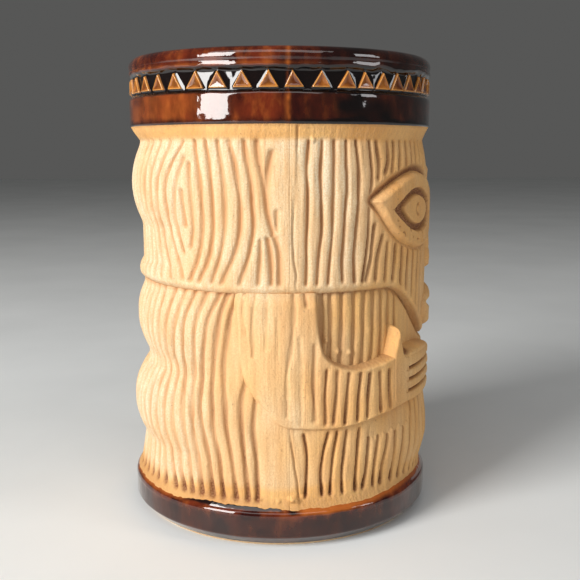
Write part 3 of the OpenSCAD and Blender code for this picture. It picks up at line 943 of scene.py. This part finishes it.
def glazed_rim():
    """The profile turned, with the glaze's climb at the triangles, its waves and its sagging edge."""
    columns = 900
    visible = np.vstack([along(band, BAND_ROWS), along(bore, BORE_ROWS)])
    r, z = shell_rows(np.vstack([visible, behind]), columns)
    phi = np.repeat(full_circle(columns), len(r), 0)
    seen = (np.arange(len(r)) < len(visible))[:, None]
    outer = seen & (r > CHANNEL_R - 0.4)
    upper_edge = between(z - CHANNEL_HIGH, -1.0, -0.2, 1, 2.4)
    lower_edge = between(z - CHANNEL_LOW, -1.6, -0.4, 0, 0.8)
    sag = 0.34 * hills(phi / 5.6, z * 0, 61) + 0.16 * hills(phi / 2.5, z * 0, 62, 144)
    z = z + outer * (upper_edge * sag + 0.12 * lower_edge * hills(phi / 4, z * 0, 63, 90))
    near = from_triangle(phi, z)
    climb = 0.34 * np.exp(-np.clip(near, 0, 9) / 0.45)
    climb = climb * between(z, TRI_LOW - 1.2, TRI_LOW, CHANNEL_HIGH - 0.8, CHANNEL_HIGH - 0.2)
    wet = 0.05 * hills(phi / 7.2, z / 3.5, 64, 50) - 0.05
    r = r + outer * (climb * (z > CHANNEL_LOW + 0.1) + wet * (r > CHANNEL_R + 0.3))
    in_channel = between(z, CHANNEL_LOW - 0.7, CHANNEL_LOW, CHANNEL_HIGH, CHANNEL_HIGH + 0.6)
    low_run = fall(z, RIM_Z, RIM_Z + 1.6 + 1.1 * hills(phi / 5, z * 0, 65, 72))
    ridge = np.exp(-((z - CHANNEL_HIGH - 0.9) / 0.35) ** 2) * (0.5 + 0.5 * hills(phi / 2.1, z / 2, 66, 171))
    side = np.abs(phi)
    streak = np.exp(-((side - 90.6) / 0.8) ** 2) * (0.6 + 0.4 * hills(phi, z / 1.2, 67, 360))
    # The band is lighter toward the back and darker toward the front, on both sides alike, set by angle.
    lighter_behind = 0.42 * ramp(side, 102, 136) * (z < CHANNEL_LOW) * (0.6 + 0.4 * hills(phi / 4, z / 2.2, 68, 90))
    thick = 1.05 * fall(side, 70, 100) * (0.75 + 0.25 * hills(phi / 6, z / 3, 69, 60))
    pool = (in_channel * 0.99 + 0.75 * low_run + thick) * (1 - 0.9 * streak)
    thin = 0.5 * ridge + 0.9 * streak + lighter_behind
    marks = {"pool": np.clip(outer * pool, 0, 1), "thin": np.clip(outer * thin, 0, 1)}
    new_piece("glazed_rim", on_mug(phi, r, z), loop_faces(*r.shape, full_turn=True),
              ["rim_glaze"], BROWN, marks)


glazed_rim()

# %% [markdown]
# ## The glazed foot
#
# The foot's glaze was brushed on, so its upper edge wanders over the clay's ledge: pooled and black
# beside the seam, thin and amber elsewhere. Below, a bevel lifts it off the table, and a narrow line
# of dry clay shows under it.

# %% The foot's surface


def foot_edge(phi):
    """Height of the glaze's upper edge: smooth between a few heights, with small random steps."""
    side = np.abs(phi)
    level = smooth_line(side, ((0, 12.2), (36, 12.2), (55, 11.1), (86, 10.9), (93, 11.8), (127, 11.9),
                               (134, 11.2), (180, 11.1)))
    notch = 0.5 * np.exp(-((side - 89.5) / 1.6) ** 2)
    steps = 0.16 * hills(phi / 3.2, phi * 0, 71, 113) + 0.09 * hills(phi / 1.1, phi * 0, 72, 327)
    return level - notch + steps


def glazed_foot():
    """Bevel and band from a profile, then rows that follow the clay's ledge up to the brushed edge."""
    columns = 800
    low = along([(STAND_R - 0.45, 0.72), (STAND_R + 0.1, 0.75), (FOOT_R - 0.35, 3.15), (FOOT_R - 0.06, 3.5),
                 (FOOT_R, 3.95), (FOOT_R, 7), (FOOT_R - 0.02, 8.9)], 40)
    r_low, z_low = shell_rows(low, columns)
    phi_line = full_circle(columns)
    share = np.linspace(0, 1, 34)[1:, None]
    phi_up = phi_line + 0 * share
    top = foot_edge(phi_line)
    z_up = low[-1, 1] * (1 - share) + top * share
    left = top - z_up
    coat = 0.42 * (1 - np.clip(1 - left / 1.3, 0, 1) ** 2.5) + 0.02
    clay = torso_radius(phi_up, np.maximum(z_up, 10.0)) - torso_cut(phi_up, z_up) * 0.5
    round_off = FOOT_R - 1.35 + 1.35 * np.sqrt(np.clip(1 - ((z_up - 9.0) / 1.9).clip(0, 1) ** 2, 0, 1))
    r_up = np.minimum(np.maximum(clay + coat, round_off - 0.25 * ramp(z_up, 10, 11)), FOOT_R)
    r_up = np.where(z_up > 10.6, clay + coat, r_up)
    hidden = [(FOOT_R - 0.95, 9.6), (FOOT_R - 0.95, 3.6), (STAND_R - 0.9, 0.9)]
    hidden_r, hidden_z = shell_rows(hidden, columns)
    lip_r, lip_z = r_up[-1:] - 0.7, z_up[-1:] - 0.25
    r = np.vstack([r_low, r_up, lip_r, hidden_r])
    z = np.vstack([z_low, z_up, lip_z, hidden_z])
    phi = np.repeat(phi_line, len(r), 0)
    seen = (np.arange(len(r)) < len(r_low) + len(r_up))[:, None]
    r = r + seen * (0.05 * hills(phi / 6, z / 3, 73, 60) - 0.05) * (z > 1.2)
    side = np.abs(phi)
    from_edge = np.where(seen, foot_edge(phi) - z, 9)
    beside_seam = between(side, 91.5, 94, 126, 133) + np.exp(-((side - 89) / 2) ** 2)
    pool = 0.95 * fall(from_edge, 0.8, 1.5) * np.clip(beside_seam, 0, 1) + 0.62 * ramp(from_edge, 1.2, 3.5)
    before_seam = between(side, 62, 68, 85, 88)
    thin = fall(from_edge - 0.5 * before_seam, 0.2, 1.4) * (1 - beside_seam)
    thin = thin * (0.8 + 0.2 * before_seam)
    thin = thin + 0.75 * np.exp(-((z - 3.45) / 0.22) ** 2) * seen
    marks = {"pool": np.clip(pool, 0, 1), "thin": np.clip(thin, 0, 1)}
    new_piece("glazed_foot", on_mug(phi, r, z), loop_faces(*r.shape, full_turn=True),
              ["foot_glaze"], BROWN, marks)


glazed_foot()

# %% [markdown]
# ## Raised members
#
# Eyes, nose, mouth, arms and hands are raised on the wall. Each is a patch of its own: a closed block
# whose outer face stands at its full height inside the member's outline and drops below the wall's
# surface outside it, so that a steep side rises out of the clay. The left ones mirror the right ones,
# with a hand's unevenness of their own.

# %% Patches
# Outside its outline a member drops to this radius, and its back is the next one.
SUNK_R, BACK_R = 40.5, 38.6
WAVES_ABOVE = 41.5


def rise(away, low, top, skirt, rounding):
    """Goes from low to top as the distance inside the outline goes from -skirt to rounding,
    fast at first and then level."""
    t = np.clip((away + skirt) / (skirt + rounding), 0, 1)
    return low + (top - low) * (1 - (1 - t) ** 2.3)


def patch(name, node, span_phi, span_z, form, grid, seed):
    """A closed block between two angles and two heights. form gives its outer radius and its cut."""
    columns, rows = grid
    phi = np.linspace(*span_phi, columns)[None, :] + np.zeros((rows, 1))
    z = np.linspace(*span_z, rows)[:, None] + np.zeros((1, columns))
    radius, cut = form(np.abs(phi), z)
    radius = radius + waves(phi + 40 * seed, z) * (radius > WAVES_ABOVE)
    clay_shell(name, node, phi, z, radius, cut, ((BACK_R, span_z[1]), (BACK_R, span_z[0])))


def pair_of_patches(name, span_phi, span_z, form, grid):
    """The figure's right one, and its mirrored left one."""
    patch(f"carved_right_{name}", f"right_{name}", span_phi, span_z, form, grid, 1)
    patch(f"carved_left_{name}", f"left_{name}", (-span_phi[1], -span_phi[0]), span_z, form, grid, 2)


# %% Eyes
EYE_WHITE = on_wall(((50.4, 90.2), (49.2, 90.9), (42, 94.6), (34, 96.2), (25, 94.6), (17, 90),
                     (22, 85), (32, 83.2), (41, 85), (47.6, 88.4)), 1)
PUPIL = on_wall(((45, 90.3), (43, 91.8), (38, 93.6), (33, 94), (27, 92.6), (23.6, 89.6),
                 (27, 86.6), (33, 85.4), (39, 86.6), (43, 88.8)), 1)


def eye_form(phi, z):
    """A bevelled frame, a groove round the pupil, pits on the frame's lower half and a small hook."""
    away = depth_inside(phi * DEGREE, z, EYE)
    top = 44.7 - 0.25 * ramp(z, 92, 100)
    radius = rise(away, SUNK_R, top, 0.5, 1.5)
    groove = ramp(depth_inside(phi * DEGREE, z, EYE_WHITE), -0.25, 0.45)
    pupil = ramp(depth_inside(phi * DEGREE, z, PUPIL), -0.35, 0.45)
    sunk = groove * (1 - pupil)
    x, y = (phi - 33) * DEGREE, z - 89.8
    around = np.hypot(x, y)
    hook = fall(np.abs(around - 1.5), 0.25, 0.6) * fall(-x, 0.2, 0.9)
    lower = fall(z - 90 + (phi - 45) * 0.1, -2, 4) * ramp(away, 1.4, 2) * (1 - groove)
    pits = ramp(hills(phi / 1.15, z / 0.8, 81), 0.42, 0.8) * lower
    radius = radius - 1.4 * sunk - 0.15 * pupil - 0.4 * hook * pupil - 0.4 * pits
    # The mark darkens the groove round the pupil, the hook and the pits, and paints shade along the frame's
    # foot.
    return radius, sunk + 0.6 * hook * pupil + 0.7 * pits + 0.4 * fall(away, -0.4, 0.5)


pair_of_patches("eye", (9, 60.5), (76.8, 102.2), eye_form, (250, 170))

# %% Nose and mouth
half_nose = ((0, 70.2), (5.5, 70.2), (8.6, 71.0), (10.2, 73.0), (9.8, 75.6), (7.6, 78.2), (6.0, 84.0),
             (5.4, 92.0), (7.5, 97.5), (11.5, 100.2), (8.0, 102.6), (0, 103.0))
NOSE = on_wall(mirrored(half_nose), 2)


def oval(height, half_angle, half_height):
    """An oval outline across the middle of the face: half an angle by a cosine, a height by a sine."""
    turn = np.linspace(0, 2 * math.pi, 20)[:-1]
    return on_wall(np.stack([half_angle * np.cos(turn), height + half_height * np.sin(turn)], -1), 1)


MOUTH = oval(59.6, 21.5, 7.3)
LIPS = oval(61.3, 17.5, 1.5)


def nose_form(phi, z):
    """A ridge that widens into two nostrils below and two brows above."""
    away = depth_inside(phi * DEGREE, z, NOSE)
    top = smooth_line(z, ((60, 45.2), (72, 45.2), (80, 45.0), (92, 44.6), (104, 43.6)))
    nostril = fall(np.hypot((phi - 6.4) * DEGREE, z - 73.3), 0.7, 1.3)
    wing = stroke(phi, z, ((71, 3.9), (74.5, 4.3), (77.5, 6.2)), 0.9, 0.5, 3, 0.1)
    radius = rise(away, SUNK_R, top, 0.5, 1.9) - 0.7 * nostril - wing
    # The mark paints shade in the nostrils and the wings' grooves, and along the ridge's foot.
    return radius, 0.9 * nostril + wing + 0.4 * fall(away, -0.5, 0.8)


def mouth_form(phi, z):
    """Two thick rounded lips in an oval, and the dark gap between them."""
    away = depth_inside(phi * DEGREE, z, MOUTH)
    gap = ramp(depth_inside(phi * DEGREE, z, LIPS), -0.7, 0.5)
    corner = ramp(phi, 12, 22)
    radius = rise(away, SUNK_R, 45.25 - 0.5 * corner, 0.5, 2.4) - 1.5 * gap
    # The mark paints shade in the gap between the lips and along the lips' foot.
    return radius, 1.2 * gap + 0.35 * fall(away, -0.5, 0.8)


patch("carved_nose", "nose", (-14, 14), (68.4, 104.5), nose_form, (130, 200), 3)
patch("carved_mouth", "mouth", (-24.5, 24.5), (50.8, 68.6), mouth_form, (230, 120), 4)

# %% Arms
ARM = on_wall(((111, 80), (110, 60), (109.5, 51), (106, 44), (102, 40), (98.5, 37), (95.5, 34), (91.5, 33),
               (84, 32.5), (75, 32), (65, 32.5), (55, 34), (45, 35), (38, 35.5), (38, 49.5), (42.5, 50),
               (46.5, 50.5), (51, 49.5), (58, 48.5), (66, 48), (72.5, 49.5), (77, 52), (78.5, 55), (80, 61),
               (80.5, 80)), 2)
FOREARM = [[(33.5, 77), (42, 77.5), (49, 76.5)], [(33.5, 74), (42, 73), (48.5, 72.5)],
           [(33, 69.5), (41.5, 69), (48, 68)], [(33.5, 64.5), (41, 64.5), (47.5, 63.5)],
           [(34, 60.5), (41, 60.5), (47, 59.5)], [(35, 54.5), (40, 55), (47, 55)],
           [(35.5, 49.5), (39.5, 50.5), (47, 50.5)]]
UPPER_ARM = [[(34.5, 81), (46.5, 81.5), (56, 81)], [(34, 86), (48, 86), (58, 86.5)],
             [(36, 91), (47, 91), (55, 89.5), (63, 88.5), (70, 88.5)], [(65.5, 84), (70, 84.5)],
             [(46, 94.5), (58, 94), (63, 94)], [(54, 98.5), (70, 98)], [(52, 103), (61, 103), (70, 102)],
             [(58, 105.5), (63, 107), (70, 106)]]
ARM_DEPTHS = (0.75, 0.3, 0.55, 0.9, 0.2, 0.4, 0.45, 0.4)
LIMB_SUNK_R = 40.2


def arm_form(phi, z):
    """A flat-topped limb that stands higher toward the wrist, with strokes round its forearm."""
    away = depth_inside(phi * DEGREE, z, ARM)
    top = 43.0 + 1.6 * ramp(86 - phi, 0, 44) + 0.4 * ramp(phi, 92, 100) * fall(z, 40, 52)
    top = top - 0.35 * ramp(phi, 96, 108) * ramp(z, 44, 54) - 0.9 * ramp(z, NECK_Z - 3.4, NECK_Z - 0.4)
    soft = 0.9 + 1.4 * ramp(phi, 90, 98)
    radius = rise(away, LIMB_SUNK_R, top, 0.6, soft)
    fore = strokes(phi, z, FOREARM, width=1.35, depth=1.0, waver=0.2)
    faint = np.zeros(phi.shape)
    for number, (path, depth) in enumerate(zip(UPPER_ARM, ARM_DEPTHS)):
        faint = np.maximum(faint, stroke(phi, z, path, 1.5, depth, number + 20, 0.2, 0.5))
    # Painted shade along the limb's foot on its front side.
    edge_shade = 0.55 * fall(away, -0.2, 0.9) * (phi < 90)
    cut = np.maximum(fore, faint) * ramp(away, 0.3, 1.1)
    return radius - cut, np.clip(cut / 1.2, 0, 1) + edge_shade


pair_of_patches("arm", (37.5, 112.5), (30.6, 69.2), arm_form, (350, 250))

# %% Hands
HAND = on_wall(((49, 35.5), (49, 46.5), (49, 50.5), (47.5, 53.5), (45.5, 58), (44.5, 57),
                (43.5, 53.5), (42.5, 51), (40, 50.5),
                (33, 51), (27, 51), (15, 50), (11.5, 48.5), (11, 42), (12, 37), (15, 35.5), (30, 35),
                (42, 35.5)), 2)
# Each gap between fingers has a height and a slope, and the fingers are this wide.
GAPS = ((45.7, 0.5), (42.4, 0.3), (39.1, 0.1))
FINGER = 3.3


def hand_form(phi, z):
    """A smooth palm with a pointed thumb, and four fingers, each rounded across, with gaps between."""
    away = depth_inside(phi * DEGREE, z, HAND)
    fingers = fall(phi, 38.8, 42)
    cut = np.zeros(phi.shape)
    for height, slope in GAPS:
        line = height + slope * (30 - phi) / 18
        cut = np.maximum(cut, fingers * np.clip(1 - (np.abs(z - line) / 0.62) ** 2, 0, 1))
    round_over = fingers * 0.35 * (2 * ((z - GAPS[-1][0]) / FINGER % 1) - 1) ** 2
    web = fall(np.hypot((phi - 40.6) * DEGREE, z - 51), 0.9, 2.6)
    radius = rise(away, LIMB_SUNK_R, 45.1 - 0.45 * ramp(phi, 36, 49), 0.6, 1.1)
    radius = radius - 1.1 * cut - round_over - 1.2 * web
    # The mark paints shade in the gaps between the fingers, a painted shadow in the web by the thumb, and
    # shade along the front of the hand's foot.
    return radius, cut + web + 0.35 * fall(away, -0.3, 0.8) * (phi < 44)


pair_of_patches("hand", (9.5, 52.5), (33.8, 58.2), hand_form, (230, 180))

# %% [markdown]
# ## Camera, floor and light
#
# The mug is seen from its right side, a little from behind, by a camera that stands at the height of
# its crown and looks slightly down. Behind on the left a tall window gives the long bright patch in
# the glaze. A weaker light in front fills the shadows on the right, and a wide one overhead softens
# both. The world adds a dim, even grey.

# %% Camera


def place_camera():
    """Puts the camera on the mug's right side, and turns it down and a little to the right."""
    data = bpy.data.cameras.new("camera")
    data.lens = 53.85
    camera = in_scene("camera", data)
    side, away, height = math.radians(-93.3), 0.2630, 0.1061
    camera.location = (away * math.sin(side), -away * math.cos(side), height)
    turn, tilt = math.radians(0.66), math.radians(9.21)
    heading = side - turn
    look = Vector((-math.sin(heading) * math.cos(tilt), math.cos(heading) * math.cos(tilt), -math.sin(tilt)))
    camera.rotation_euler = look.to_track_quat("-Z", "Y").to_euler()
    data.clip_start, data.clip_end = 0.01, 20
    bpy.context.scene.camera = camera


place_camera()

# %% Floor and lights
FLOOR_HALF = 3.0
AIM_HEIGHT = 0.065


def floor_finish():
    """A pale, almost even stone floor."""
    material, tree, shader = new_material("pale_floor")
    cloud = span(tree, noise(tree, 9, 4), 0.3, 0.75)
    linked(tree, blend(tree, cloud, (0.86, 0.88, 0.88), (0.79, 0.81, 0.81)), shader.inputs["Base Color"])
    set_inputs(shader, Roughness=0.7)
    return material


def lay_floor():
    """A flat square that the mug stands on."""
    mesh = bpy.data.meshes.new("floor")
    corners = np.array([(-1, -1, 0), (1, -1, 0), (1, 1, 0), (-1, 1, 0)]) * FLOOR_HALF
    mesh.from_pydata(corners.tolist(), [], [(0, 1, 2, 3)])
    mesh.materials.append(floor_finish())
    floor = in_scene("floor", mesh)


def hang_light(name, around, height, distance, size, watts, colour):
    """A rectangular light at an angle from the face, turned to the middle of the mug."""
    data = bpy.data.lights.new(name, "AREA")
    data.shape = "RECTANGLE"
    data.size, data.size_y = size
    data.energy = watts
    data.color = colour
    light = in_scene(name, data)
    light.location = on_mug(around, distance, height)
    aim = Vector((0, 0, AIM_HEIGHT)) - light.location
    light.rotation_euler = aim.to_track_quat("-Z", "Y").to_euler()


lay_floor()
hang_light("window", 141, 420, 900, (0.40, 0.62), 11.8, (1.0, 0.985, 0.96))
hang_light("front_fill", 27, 460, 1100, (0.28, 0.45), 2.0, (0.98, 0.98, 1.0))
hang_light("overhead", 104, 900, 700, (1.5, 0.5), 4.4, (1.0, 0.98, 0.96))

world = bpy.data.worlds.new("studio")
bpy.context.scene.world = world
world.use_nodes = True
set_inputs(world.node_tree.nodes["Background"], Color=(0.095, 0.095, 0.093, 1), Strength=1.0)
bpy.context.scene.view_settings.view_transform = "Standard"
